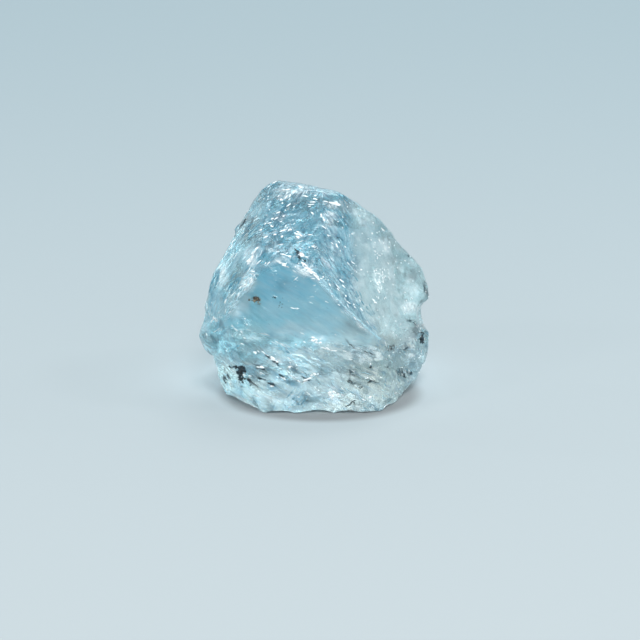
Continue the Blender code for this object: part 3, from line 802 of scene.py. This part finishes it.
# Painted glints, as white flakes: middle across and up the front, how far they scatter along and across
# their angle, the angle, how many, and each one's half length and half width.
PAINTED_GLINT_FLAKES = (
    # the foot
    (-5.15, -6.25, 0.3, 0.08, -12, 5, 0.22, 0.1), (-3.85, -5.6, 0.3, 0.14, -40, 6, 0.28, 0.13),
    (-4.6, -5.05, 0.3, 0.03, -40, 3, 0.22, 0.06), (-5.55, -4.95, 0.05, 0.05, -40, 2, 0.18, 0.1),
    (-2.4, -6.3, 0.05, 0.05, 0, 2, 0.17, 0.15), (-2.95, -7.35, 0.18, 0.06, -30, 3, 0.22, 0.08),
    (-4.1, -8.05, 0.2, 0.05, -10, 3, 0.22, 0.09), (-0.7, -7.45, 0.35, 0.08, 15, 5, 0.24, 0.1),
    (-1.5, -7.65, 0.15, 0.05, -20, 2, 0.17, 0.07), (-0.1, -7.0, 0.4, 0.12, 20, 6, 0.18, 0.08),
    (0.25, -3.8, 0.45, 0.2, -10, 9, 0.2, 0.09), (1.3, -4.6, 0.8, 0.07, -15, 8, 0.22, 0.06),
    (1.75, -8.8, 0.35, 0.4, -60, 16, 0.18, 0.1), (5.15, -6.0, 0.03, 0.03, 0, 2, 0.14, 0.12),
    (5.05, -9.15, 0.25, 0.06, 15, 4, 0.18, 0.08),
    # the right-hand side
    (6.0, 1.6, 0.9, 0.1, 85, 14, 0.1, 0.07), (5.85, 3.3, 0.9, 0.14, 85, 8, 0.08, 0.06),
    (5.4, 6.25, 0.03, 0.03, 0, 1, 0.15, 0.13), (3.45, 6.2, 0.03, 0.03, 0, 1, 0.11, 0.1),
    (6.5, 6.65, 0.12, 0.04, -60, 2, 0.12, 0.07), (8.5, 0.7, 0.05, 0.05, -50, 2, 0.12, 0.09),
    (9.1, 0.2, 0.1, 0.05, -50, 2, 0.12, 0.07), (5.6, -0.2, 0.35, 0.06, -45, 4, 0.16, 0.08),
    # the crown
    (-0.95, 3.15, 0.4, 0.12, -38, 9, 0.28, 0.09), (-0.35, 2.6, 0.45, 0.12, -40, 10, 0.3, 0.1),
    (0.15, 2.15, 0.3, 0.08, -45, 6, 0.24, 0.09), (-1.25, 4.15, 0.25, 0.12, -50, 6, 0.24, 0.11),
    (-2.9, 4.2, 0.6, 0.05, -20, 6, 0.26, 0.06), (-3.1, 3.4, 0.5, 0.06, -25, 6, 0.28, 0.06),
    (-2.4, 2.9, 0.6, 0.05, -30, 5, 0.3, 0.06), (-1.6, 6.1, 0.3, 0.2, -60, 8, 0.2, 0.11),
    (1.3, 9.2, 0.8, 0.05, -14, 8, 0.3, 0.07), (2.1, 8.95, 0.2, 0.08, 5, 4, 0.24, 0.12),
    (0.75, 7.7, 0.35, 0.06, -60, 6, 0.24, 0.09), (2.0, 5.1, 0.15, 0.06, -75, 3, 0.17, 0.09),
    (-4.1, 6.9, 0.03, 0.03, 40, 1, 0.18, 0.11), (-3.75, 6.05, 0.03, 0.03, 35, 1, 0.21, 0.12),
    (-3.1, 5.9, 0.03, 0.03, 35, 1, 0.22, 0.11), (-2.3, 6.55, 0.03, 0.03, 35, 1, 0.22, 0.12),
    (-3.25, 9.45, 0.12, 0.06, 20, 4, 0.2, 0.12), (-2.7, 10.45, 0.25, 0.04, 5, 3, 0.22, 0.07),
    (-1.4, 10.7, 0.15, 0.04, -30, 2, 0.18, 0.07), (-0.9, 9.75, 0.3, 0.04, -15, 3, 0.2, 0.06),
    # the left band and the left-hand knob
    (-6.0, 3.75, 0.45, 0.12, 50, 12, 0.38, 0.1), (-5.6, 4.55, 0.4, 0.06, 60, 5, 0.32, 0.07),
    (-7.75, 5.2, 0.5, 0.04, 65, 5, 0.3, 0.05), (-8.75, 4.0, 0.15, 0.05, 80, 2, 0.22, 0.06),
    (-9.6, -1.9, 0.3, 0.03, 40, 3, 0.18, 0.05),
    # the window
    (-1.9, -0.82, 0.35, 0.02, -6, 5, 0.28, 0.035), (-3.6, -3.9, 1.4, 0.25, -30, 12, 0.45, 0.018),
    (-7.2, -3.2, 0.9, 0.5, -35, 10, 0.16, 0.03), (-9.0, -1.5, 0.6, 0.3, 40, 8, 0.22, 0.022),
    (-9.1, -2.9, 0.5, 0.15, 20, 5, 0.2, 0.022), (-6.5, -1.8, 0.02, 0.02, 0, 1, 0.11, 0.09),
    (-6.35, -2.3, 0.02, 0.02, 0, 1, 0.14, 0.1), (-6.2, 1.7, 0.5, 0.35, 55, 16, 0.24, 0.028),
    (-5.65, 2.35, 0.35, 0.2, -35, 8, 0.22, 0.03), (-6.8, 0.7, 0.5, 0.25, 50, 8, 0.24, 0.024),
)
# Paler blue ones that feather the broken edge round the window, in the same columns.
PALE_FLAKES = (
    (0.9, 1.2, 0.7, 0.07, -43, 14, 0.28, 0.03), (1.9, 0.25, 0.7, 0.05, -44, 12, 0.28, 0.03),
    (2.9, -0.75, 0.7, 0.05, -44, 14, 0.28, 0.03), (3.9, -1.75, 0.7, 0.05, -44, 14, 0.3, 0.03),
    (4.9, -2.7, 0.7, 0.06, -42, 14, 0.3, 0.03), (5.7, -3.4, 0.5, 0.08, -40, 10, 0.26, 0.03),
    (-6.2, 1.8, 0.6, 0.45, 55, 26, 0.32, 0.024), (-5.75, 2.4, 0.45, 0.25, -35, 14, 0.26, 0.026),
    (-6.9, 0.7, 0.7, 0.35, 50, 20, 0.32, 0.022), (-7.7, -0.6, 0.7, 0.35, 48, 16, 0.3, 0.022),
    (-4.2, 2.95, 0.6, 0.12, -25, 10, 0.28, 0.026), (-6.1, 4.2, 0.8, 0.35, 52, 20, 0.34, 0.03),
    (-6.3, -1.9, 0.6, 0.5, -40, 14, 0.2, 0.025), (-7.0, -2.6, 0.6, 0.4, 30, 14, 0.22, 0.025),
)
# Dark flakes, in the same columns.
DARK_FLAKES = (
    (-5.0, -6.46, 0.34, 0.05, -12, 7, 0.22, 0.055), (-5.4, -6.08, 0.22, 0.03, -20, 5, 0.18, 0.045),
    (-3.65, -5.88, 0.3, 0.09, -42, 9, 0.28, 0.065), (-4.35, -5.32, 0.35, 0.04, -40, 6, 0.26, 0.05),
    (-3.1, -7.12, 0.22, 0.05, -35, 6, 0.2, 0.05), (-4.05, -7.88, 0.3, 0.05, -22, 7, 0.26, 0.06),
    (-4.9, -7.45, 0.35, 0.08, -25, 7, 0.22, 0.05), (-0.85, -7.6, 0.3, 0.05, 15, 6, 0.22, 0.055),
    (-1.05, -7.25, 0.25, 0.06, -10, 5, 0.2, 0.05), (3.4, -6.8, 0.25, 0.18, -20, 9, 0.18, 0.05),
    (3.4, -7.65, 0.22, 0.06, -30, 4, 0.22, 0.05), (5.35, -7.6, 0.18, 0.03, 20, 3, 0.22, 0.045),
    (4.3, -8.2, 0.35, 0.06, 20, 4, 0.18, 0.03), (5.2, -6.22, 0.04, 0.03, 0, 2, 0.13, 0.08),
    (6.8, -6.3, 0.05, 0.03, -20, 2, 0.16, 0.06), (8.2, -6.85, 0.4, 0.28, -40, 18, 0.2, 0.04),
    (9.1, -6.95, 0.12, 0.1, -60, 4, 0.14, 0.06), (8.45, -4.6, 0.2, 0.08, 10, 5, 0.18, 0.06),
    (7.1, -4.55, 0.25, 0.08, 25, 5, 0.18, 0.04), (9.2, -2.1, 0.4, 0.08, -20, 9, 0.2, 0.04),
    (10.45, 1.2, 0.6, 0.1, 85, 5, 0.22, 0.03), (8.9, 4.2, 0.04, 0.03, -40, 2, 0.12, 0.06),
    (-6.65, 7.4, 0.5, 0.1, 58, 4, 0.3, 0.022), (-1.6, 4.25, 0.45, 0.1, -65, 10, 0.26, 0.08),
    (-0.9, 3.6, 0.1, 0.05, -40, 3, 0.12, 0.06), (-8.45, -7.35, 0.3, 0.45, -52, 16, 0.26, 0.022),
    (-6.1, -7.6, 0.3, 0.18, -45, 8, 0.24, 0.03), (-5.9, -7.8, 0.25, 0.12, 40, 5, 0.16, 0.03),
    (-7.95, -6.25, 0.14, 0.04, -20, 4, 0.18, 0.03), (-3.85, 0.15, 0.2, 0.12, -20, 7, 0.11, 0.04),
    (-3.2, -0.45, 0.25, 0.18, -30, 6, 0.09, 0.035),
)
# Fine blue lines of the growth and the flow, in the same columns.
BLUE_VEINS = (
    (-1.5, -9.1, 0.6, 0.9, 50, 44, 0.4, 0.01), (-7.4, -4.6, 0.6, 0.4, 40, 8, 0.3, 0.03),
    (-3.0, -4.6, 0.9, 0.25, -27, 8, 0.45, 0.03), (-1.6, -5.6, 0.9, 0.4, -30, 6, 0.4, 0.02),
    (-7.6, 1.6, 0.7, 0.5, 60, 12, 0.5, 0.03), (-9.3, 1.8, 0.8, 0.25, 68, 10, 0.5, 0.03),
    (-5.9, 6.6, 0.9, 0.5, 52, 10, 0.4, 0.025), (4.9, -1.2, 1.6, 0.55, -58, 10, 0.3, 0.03),
    (3.6, 1.6, 1.6, 0.5, -66, 10, 0.28, 0.03),
)
RUST = (
    (-5.45, 0.0, 0.16, 0.1, 26, 0.28), (-5.62, -0.1, 0.09, 0.07, 10, 0.16),
    (-5.22, -0.34, 0.07, 0.1, 10, 0.15),
)
# Hair cracks that end in the surface: points across and up the front.
CRACKS = (
    ((2.85, -3.6), (3.05, -3.95), (3.45, -4.3), (3.8, -4.65)), ((4.55, -4.85), (5.05, -4.95), (5.55, -5.2)),
    ((2.85, -10.05), (3.3, -9.85), (3.45, -9.5), (3.95, -9.4)), ((3.55, -9.7), (3.9, -9.62)),
    ((3.0, -7.55), (3.35, -7.8), (3.7, -7.8)), ((4.9, -7.75), (5.2, -7.55), (5.5, -7.45)),
    ((7.0, -4.45), (7.4, -4.3), (7.6, -4.5)), ((-6.3, -7.2), (-5.9, -7.7), (-5.4, -8.05), (-5.25, -8.35)),
)
# Where more strokes gather: along the broken edge, and down the start of the right-hand side.
EDGE_LEFT = [(-9.0, -2.6), (-5.3, 2.2), (-3.0, 3.0), (0.0, 1.2), (0.6, 2.4), (-2.6, 4.6), (-5.9, 3.6),
             (-9.6, -2.0)]
EDGE_RIGHT = [(0.0, 1.0), (4.2, -3.0), (6.4, -4.9), (7.0, -4.1), (4.6, -1.6), (0.6, 2.4)]
RIGHT_STREAK = [(5.5, 4.8), (6.5, 4.8), (7.2, 0.2), (5.9, -0.4)]
# The outlines of the sides that the front's tables don't reach.
WHOLE_BACK = [(-10.0, -8.0), (-10.0, 4.0), (0.0, 10.0), (8.0, 8.0), (10.0, -8.0)]
WHOLE_RIGHT = [(-1.0, -7.5), (-1.0, 7.5), (7.0, 6.0), (8.0, -7.5)]
WHOLE_LEFT = [(-8.0, -7.5), (-7.0, 6.0), (1.0, 8.5), (1.0, -7.5)]
# Painted glints, as bright strokes: outline, tries, angle on the left and on the right of the middle, half
# length, half width.
STROKES = (
    (CROWN, 450, 46, -57, 0.36, 0.085), (EDGE_LEFT, 200, 50, -45, 0.3, 0.07),
    (EDGE_RIGHT, 160, -45, -45, 0.3, 0.06), (LEFT_BAND, 120, 58, 58, 0.55, 0.035),
    (RIGHT_SIDE, 260, -60, -60, 0.1, 0.07), (RIGHT_STREAK, 110, -80, -80, 0.09, 0.06),
    (FOOT, 480, -30, -26, 0.28, 0.055), (WINDOW, 160, -30, -30, 0.26, 0.035),
)
# The same painted glint strokes on the other sides, after the side.
OTHER_STROKES = (
    (BACK_SIDE, WHOLE_BACK, 520, -24, -38, 0.2, 0.055), (RIGHT_END, WHOLE_RIGHT, 240, -60, -60, 0.16, 0.06),
    (LEFT_END, WHOLE_LEFT, 260, 58, 58, 0.4, 0.05),
)
# Dark grains there: side, then the same columns as before.
OTHER_CLUSTERS = (
    (BACK_SIDE, -4.6, 2.8, 0.3, 0.35, 26, 0.22), (BACK_SIDE, -3.9, 2.2, 0.5, 0.3, 22, 0.12),
    (BACK_SIDE, 5.2, -3.4, 0.35, 0.2, 20, 0.2), (BACK_SIDE, 6.1, -3.8, 0.6, 0.3, 30, 0.1),
    (BACK_SIDE, 1.6, 5.8, 0.6, 0.18, 18, 0.11), (BACK_SIDE, -7.4, -3.0, 0.45, 0.6, 36, 0.1),
    (BACK_SIDE, 0.8, -5.2, 0.9, 0.25, 34, 0.1), (BACK_SIDE, 7.6, 2.4, 0.3, 0.5, 20, 0.09),
    (RIGHT_END, 3.2, -4.2, 0.4, 0.25, 24, 0.14), (RIGHT_END, 4.0, 1.8, 0.6, 0.3, 30, 0.09),
    (RIGHT_END, 5.4, -1.0, 0.25, 0.5, 20, 0.11), (LEFT_END, -3.4, -3.6, 0.35, 0.45, 26, 0.14),
    (LEFT_END, -4.6, 2.2, 0.5, 0.25, 24, 0.1),
)
# Hair-fine pale and deep blue strokes, in the columns of the painted glint strokes.
PALE_STROKES = (
    (CROWN, 1000, 46, -57, 0.32, 0.022), (LEFT_BAND, 330, 60, 60, 0.55, 0.016),
    (FOOT, 650, -30, -28, 0.36, 0.02), (WINDOW, 160, -30, -30, 0.3, 0.014),
)
DEEP_STROKES = (
    (CROWN, 1200, 46, -57, 0.34, 0.028), (LEFT_BAND, 400, 60, 60, 0.6, 0.02),
    (FOOT, 480, -30, -28, 0.36, 0.022), (WINDOW, 120, -30, -30, 0.25, 0.014),
)
CRACK_WIDTH, CRACK_HEIGHT, CRACK_DEPTH = 0.036, 0.10, 0.06
CRACK_STEP, CRACK_SHAKE = 0.12, 0.02  # how far apart a crack's points are, and how far they stray
FLAKE_THICKNESS = 0.02
FLAKE_CORNERS = 7
ARCH_TURN = (-2.6, 2.4)  # where strokes turn from their left angle to their right one, across the front
LOWEST = 0.3 * MM  # nothing is sealed closer to the ground than this
FLAKE_RAISED = 0.35  # how much the white flakes turn from the surface towards the sky
GRAIN_SCALE = 0.62
INCLUSION_SEED = 55
STROKE_SHAKE = 14  # how many degrees strokes stray from their angle
STEEPEST = 0.15  # how little the surface may face the side that its strokes are drawn from
TURNS, RUST_TURNS = (0.42, 0.58), (0.48, 0.60)  # where in the noise a mineral turns from tone to tone
# Each pile of inclusions: its piece, its mineral, the mineral's two tones, its roughness and its turns.
MINERALS = (
    ("dark_minerals", "dark_mineral", (0.003, 0.012, 0.018), (0.010, 0.034, 0.052), 0.55, TURNS),
    ("dark_flakes", "dark_teal", (0.004, 0.018, 0.028), (0.013, 0.045, 0.065), 0.5, TURNS),
    ("blue_veins", "blue_vein", (0.075, 0.26, 0.37), (0.13, 0.36, 0.47), 0.4, TURNS),
    ("rust_fleck", "iron_rust", (0.05, 0.038, 0.026), (0.32, 0.27, 0.18), 0.7, RUST_TURNS),
    ("pale_strokes", "pale_stroke", (0.43, 0.69, 0.78), (0.58, 0.79, 0.86), 0.4, TURNS),
    # Near-white plates that stand in for glints: painted glints.
    ("white_flakes", "white_flake", (0.90, 0.94, 0.95), (1.0, 1.0, 1.0), 0.4, TURNS),
)


def direction(bearing, height):
    """The way from the stone to something at this bearing and height above level."""
    round_stone, up = math.radians(bearing), math.radians(height)
    flat = math.cos(up)
    return Vector((math.cos(round_stone) * flat, math.sin(round_stone) * flat, math.sin(up)))


class Pile:
    """Many small closed shapes gathered into one mesh."""

    def __init__(self):
        self.corners, self.faces = [], []

    def add(self, corners, faces):
        first = len(self.corners)
        self.corners += [tuple(corner) for corner in corners]
        self.faces += [[first + index for index in face] for face in faces]

    def finish(self, name, material):
        mesh = bpy.data.meshes.new(name)
        mesh.from_pydata(self.corners, [], self.faces)
        mesh.shade_smooth()
        mesh.materials.append(material)
        piece = link(bpy.data.objects.new(name, mesh))
        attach(piece, "root")
        return piece


def pebble_shape():
    """Corners and faces of a round pebble, from which every grain is made."""
    bm = bmesh.new()
    bmesh.ops.create_icosphere(bm, subdivisions=2, radius=1.0)
    corners = np.array([vertex.co for vertex in bm.verts])
    faces = [[vertex.index for vertex in face.verts] for face in bm.faces]
    bm.free()
    return corners, faces


def random_turn(rng):
    about_z = Matrix.Rotation(rng.uniform(0, 2 * math.pi), 3, "Z")
    about_x = Matrix.Rotation(rng.uniform(0, math.pi), 3, "X")
    return np.array(about_z @ about_x)


def under_surface(tree, x, y, depth, side=None):
    """The point this deep under one side of the stone at x, y, and the surface's normal there."""
    across, up, out = side or FRONT_SIDE
    start = MIDDLE + (across * x + up * y) * MM + out * 30 * MM
    point, normal, _, _ = tree.ray_cast(start, -out)
    if point is None or point.z < LOWEST:
        return None, None
    return point - normal * depth * MM, normal


def add_grains(pile, tree, cluster, rng, side=None):
    """Uneven grains scattered about one place under the surface."""
    x, y, spread_x, spread_y, count, size = cluster
    corners, faces = pebble_shape()
    for _ in range(count):
        here = rng.normal(x, spread_x), rng.normal(y, spread_y)
        place, _ = under_surface(tree, *here, rng.uniform(-0.03, 0.12), side)
        if place is None:
            continue
        longest = size * rng.uniform(0.35, 1.0)
        reach = longest * np.array([1.0, rng.uniform(0.5, 0.9), rng.uniform(0.3, 0.7)])
        uneven = 1 + 0.35 * noise(corners * 1.6 + rng.uniform(0, 50, 3), seed=91)
        grain = (corners * uneven[:, None] * reach) @ random_turn(rng)
        pile.add(grain * GRAIN_SCALE * MM + np.array(place), faces)


def add_flake(pile, place, normal, angle, half_long, half_wide, rng, side=None):
    """One thin irregular plate that lies along the surface."""
    across, up, _ = side or FRONT_SIDE
    a = math.radians(angle)
    long_way = across * math.cos(a) + up * math.sin(a)
    long_way = (long_way - normal * long_way.dot(normal)).normalized()
    wide_way = normal.cross(long_way)
    rim = []
    for step in range(FLAKE_CORNERS):
        turn = 2 * math.pi * step / FLAKE_CORNERS
        far = rng.uniform(0.6, 1.15)
        along = long_way * math.cos(turn) * half_long * far
        rim.append(along + wide_way * math.sin(turn) * half_wide * far)
    top = [place + (corner + normal * FLAKE_THICKNESS) * MM for corner in rim]
    bottom = [place + (corner - normal * FLAKE_THICKNESS) * MM for corner in rim]
    one, two = list(range(FLAKE_CORNERS)), list(range(FLAKE_CORNERS, 2 * FLAKE_CORNERS))
    sides = [[b, a, c, d] for a, b, c, d in zip(one, one[1:] + one[:1], two, two[1:] + two[:1])]
    pile.add(top + bottom, [one, two[::-1]] + sides)


def add_flakes(pile, tree, row, rng, turned=12.0, raised=0.0):
    """Slender plates scattered over one place, turned about their angle and raised towards the sky."""
    x, y, spread_long, spread_wide, angle, count, half_long, half_wide = row
    a = math.radians(angle)
    for _ in range(count):
        along, across = rng.uniform(-1, 1, 2) * (spread_long, spread_wide)
        here_x = x + along * math.cos(a) - across * math.sin(a)
        here_y = y + along * math.sin(a) + across * math.cos(a)
        place, normal = under_surface(tree, here_x, here_y, rng.uniform(-0.05, 0.0))
        if place is None:
            continue
        size = half_long * rng.uniform(0.6, 1.2), half_wide * rng.uniform(0.6, 1.2)
        facing = (normal + Vector((0, 0, raised))).normalized()
        add_flake(pile, place, facing, angle + rng.normal(0, turned), *size, rng)


def add_strokes(pile, tree, row, rng, side=None):
    """Fine bright strokes scattered over an outline, the way its grain runs."""
    corners, count, left_angle, right_angle, longest, widest = row
    low, high = np.min(corners, axis=0), np.max(corners, axis=0)
    for _ in range(count):
        x, y = rng.uniform(low, high)
        inside = inside_outline(np.array([x]), np.array([y]), corners, 0.4)[0]
        gathered = noise(np.array([[x / 1.3, y / 1.3, 7.7]]), seed=121)[0]
        if rng.uniform(0, 1) > inside * (0.45 + gathered):
            continue
        place, normal = under_surface(tree, x, y, rng.uniform(-0.03, 0.01), side)
        if place is None or normal.dot((side or FRONT_SIDE)[2]) < STEEPEST:
            continue
        angle = left_angle + (right_angle - left_angle) * smooth_step(x, *ARCH_TURN)
        size = longest * rng.uniform(0.12, 1.0) ** 2 + 0.04, widest * rng.uniform(0.4, 1.0)
        add_flake(pile, place, normal, angle + rng.normal(0, STROKE_SHAKE), *size, rng, side)


def add_crack(pile, tree, route, rng):
    """A thin dark blade that follows a route just under the surface."""
    points = []
    for (x0, y0), (x1, y1) in zip(route, route[1:]):
        pieces = max(2, int(math.hypot(x1 - x0, y1 - y0) / CRACK_STEP))
        for step in range(pieces):
            t = step / pieces
            x, y = x0 + (x1 - x0) * t, y0 + (y1 - y0) * t
            points.append((x + rng.normal(0, CRACK_SHAKE), y + rng.normal(0, CRACK_SHAKE)))
    corners = []
    for number, (x, y) in enumerate(points):
        place, normal = under_surface(tree, x, y, CRACK_DEPTH)
        if place is None:
            return
        ahead = points[min(number + 1, len(points) - 1)]
        behind = points[max(number - 1, 0)]
        way = (RIGHT * (ahead[0] - behind[0]) + UP_FRONT * (ahead[1] - behind[1])).normalized()
        side = way.cross(normal).normalized()
        taper = CRACK_WIDTH * (0.35 + math.sin(math.pi * (number + 0.5) / len(points)))
        for across, down in ((1, 0), (1, 1), (-1, 1), (-1, 0)):
            corners.append(place + (side * across * taper - normal * down * CRACK_HEIGHT) * MM)
    faces = [[0, 1, 2, 3], [len(corners) - 1 - index for index in range(4)]]
    for ring in range(len(points) - 1):
        for corner in range(4):
            a, b = 4 * ring + corner, 4 * ring + (corner + 1) % 4
            faces.append([a, a + 4, b + 4, b])
    pile.add(corners, faces)


def seal_inclusions(stone):
    """Everything in the stone: dark grains and flakes, cracks, a rust fleck, veins, and white flakes and
    bright strokes that are painted glints.
    """
    rng = np.random.default_rng(INCLUSION_SEED)
    tree = BVHTree.FromObject(stone, bpy.context.evaluated_depsgraph_get())
    dark, dark_flakes, veins, rust, pale, white = piles = [Pile() for _ in MINERALS]
    jobs = (
        (dark, add_grains, DARK_CLUSTERS, {}),
        (dark, add_crack, CRACKS, {}),
        (rust, add_grains, RUST, {}),
        (white, add_flakes, PAINTED_GLINT_FLAKES, {"raised": FLAKE_RAISED}),
        (dark_flakes, add_flakes, DARK_FLAKES, {}),
        (veins, add_flakes, BLUE_VEINS, {"turned": 4.0}),
        (white, add_strokes, STROKES, {}),
        (pale, add_strokes, PALE_STROKES, {}),
        (pale, add_flakes, PALE_FLAKES, {"turned": 20.0, "raised": FLAKE_RAISED}),
        (veins, add_strokes, DEEP_STROKES, {}),
    )
    for pile, add, rows, settings in jobs:
        for row in rows:
            add(pile, tree, row, rng, **settings)
    for pile, add, rows in ((white, add_strokes, OTHER_STROKES), (dark, add_grains, OTHER_CLUSTERS)):
        for side, *row in rows:
            add(pile, tree, row, rng, side)
    for pile, (piece, *look) in zip(piles, MINERALS):
        pile.finish(piece, mineral(*look))


# ---------------------------------------------------------------- the stage


def make_floor():
    bm = bmesh.new()
    bmesh.ops.create_circle(bm, cap_ends=True, segments=FLOOR_CORNERS, radius=FLOOR_RADIUS)
    mesh = bpy.data.meshes.new("floor")
    bm.to_mesh(mesh)
    bm.free()
    floor = link(bpy.data.objects.new("floor", mesh))
    floor.location.z = -FLOOR_DROP
    floor.data.materials.append(pale_floor())


def make_camera():
    camera = link(bpy.data.objects.new("camera", bpy.data.cameras.new("camera")))
    camera.data.sensor_width = SENSOR
    camera.data.lens = SENSOR * CAMERA_DISTANCE / FRAME_WIDTH
    camera.data.clip_start = 0.01
    camera.location = MIDDLE + RIGHT * AIM[0] * MM + UP_FRONT * AIM[1] * MM + OUT * CAMERA_DISTANCE
    camera.rotation_euler = (math.pi / 2 - LEAN, 0, 0)
    bpy.context.scene.camera = camera


def soft_light(name, place, size, power):
    """A round light that looks at the stone."""
    light = bpy.data.lights.new(name, "AREA")
    light.shape = "DISK"
    light.size = size
    light.energy = power
    lamp = link(bpy.data.objects.new(name, light))
    lamp.location = place
    lamp.visible_camera = False
    to_stone = MIDDLE - lamp.location
    lamp.rotation_euler = to_stone.to_track_quat("-Z", "Y").to_euler()


# Each light: bearing round the stone (0 is right, 90 is behind), height above level, size and power.
LIGHTS = (
    ("back_key", 75, 52, 0.24, 0.5),
    ("front_key", -75, 56, 0.20, 0.85),
    ("spark_top", 100, 58, 0.05, 0.12),
    ("spark_top_left", 140, 60, 0.05, 0.12),
    ("spark_top_right", 30, 58, 0.05, 0.12),
    ("spark_right", -3, 42, 0.07, 0.20),
    ("spark_right_low", 15, 23, 0.05, 0.10),
    ("spark_left", -156, 30, 0.07, 0.16),
    ("spark_left_low", 155, 20, 0.05, 0.10),
    ("spark_front", -70, 64, 0.05, 0.10),
)
LIGHT_DISTANCE = 0.55


def make_lights():
    for name, bearing, height, size, power in LIGHTS:
        soft_light(name, MIDDLE + direction(bearing, height) * LIGHT_DISTANCE, size, power)


def make_world():
    """An even pale light from all round, behind a plain wall colour that only the camera sees."""
    world = bpy.data.worlds.new("studio")
    bpy.context.scene.world = world
    world.use_nodes = True
    tree = world.node_tree
    light = tree.nodes["Background"]
    light.inputs["Color"].default_value = WORLD_COLOUR
    light.inputs["Strength"].default_value = WORLD_STRENGTH
    wall = new_node(tree, "Background")
    wall.inputs["Color"].default_value = WALL_COLOUR
    both = new_node(tree, "MixShader")
    plug(tree, new_node(tree, "LightPath").outputs["Is Camera Ray"], both.inputs["Fac"])
    plug(tree, light.outputs["Background"], both.inputs[1])
    plug(tree, wall.outputs["Background"], both.inputs[2])
    plug(tree, both.outputs["Shader"], tree.nodes["World Output"].inputs["Surface"])


def main():
    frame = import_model()
    stone = fine_stone(frame)
    stone.data.materials.clear()
    stone.data.materials.append(beryl())
    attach(stone, "root")
    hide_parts(NODE)
    seal_inclusions(stone)
    make_floor()
    make_lights()
    make_world()
    make_camera()
    bpy.context.scene.view_settings.view_transform = "Standard"


main()
